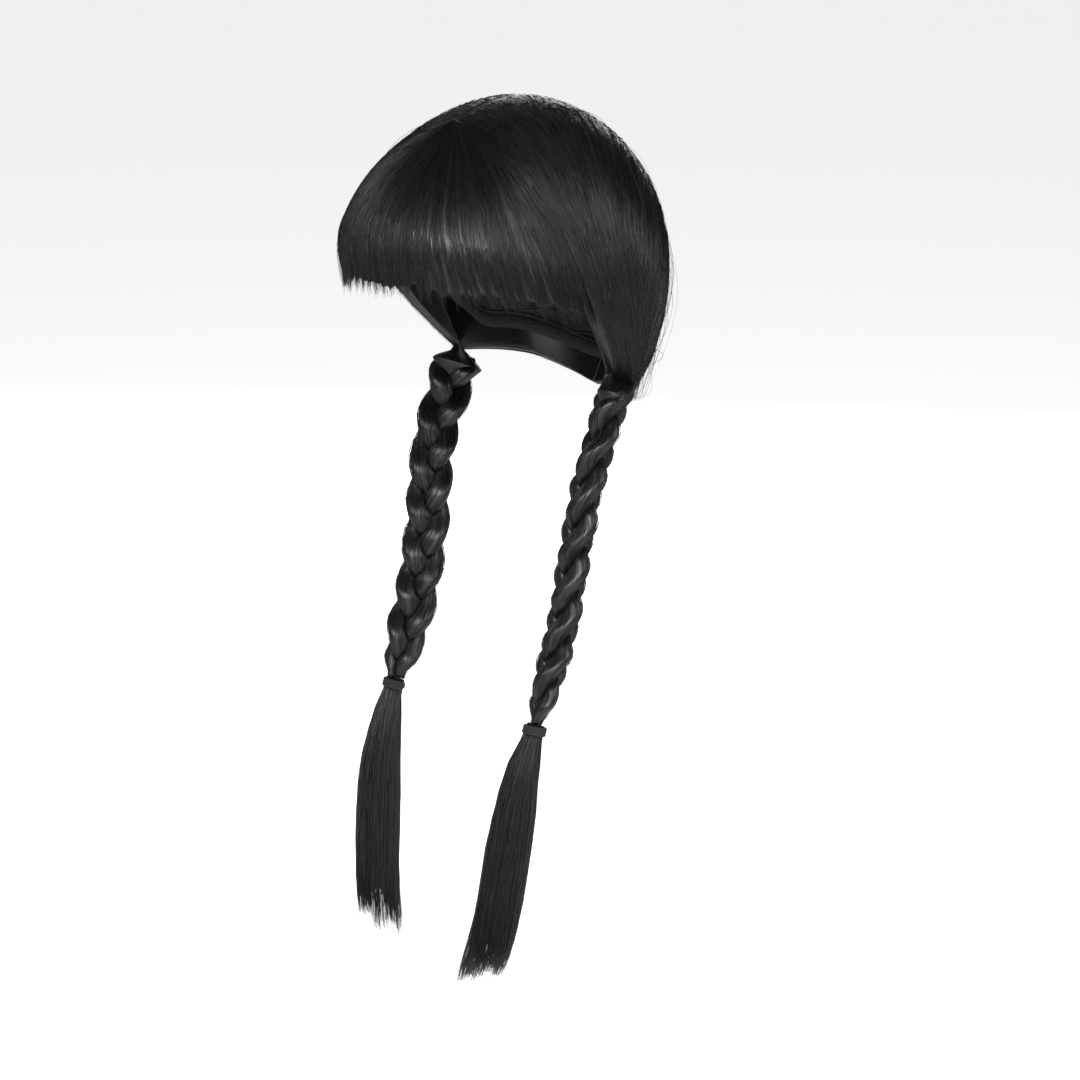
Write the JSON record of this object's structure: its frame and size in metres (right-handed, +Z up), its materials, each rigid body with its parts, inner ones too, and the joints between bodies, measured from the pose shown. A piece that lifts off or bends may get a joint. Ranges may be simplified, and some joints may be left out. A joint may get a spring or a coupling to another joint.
{
  "type": "pigtail wig",
  "caption": "Black wig with a full fringe and a braided pigtail behind each ear, held by elastic ties, on a stretch cap that a head goes into from below.",
  "frame": {"origin": "where the inside of the cap rests on the top of the head", "axes": "+Z up, -Y towards the face, +X towards the wearer's left"},
  "size_m": [0.18, 0.2144, 0.5156],
  "materials": {
    "cap_net": "black stretch net",
    "black_hair": "glossy black synthetic hair fibre",
    "elastic": "matt black covered elastic"
  },
  "bodies": {
    "root": {"wig_cap": "cap_net", "fringe": "black_hair", "combed_side_left": "black_hair", "combed_side_right": "black_hair", "braid_strand_left_1": "black_hair", "braid_strand_left_2": "black_hair", "braid_strand_left_3": "black_hair", "braid_strand_right_1": "black_hair", "braid_strand_right_2": "black_hair", "braid_strand_right_3": "black_hair", "hair_tie_left": "elastic", "hair_tie_right": "elastic", "tail_left": "black_hair", "tail_right": "black_hair"}
  },
  "joints": []
}
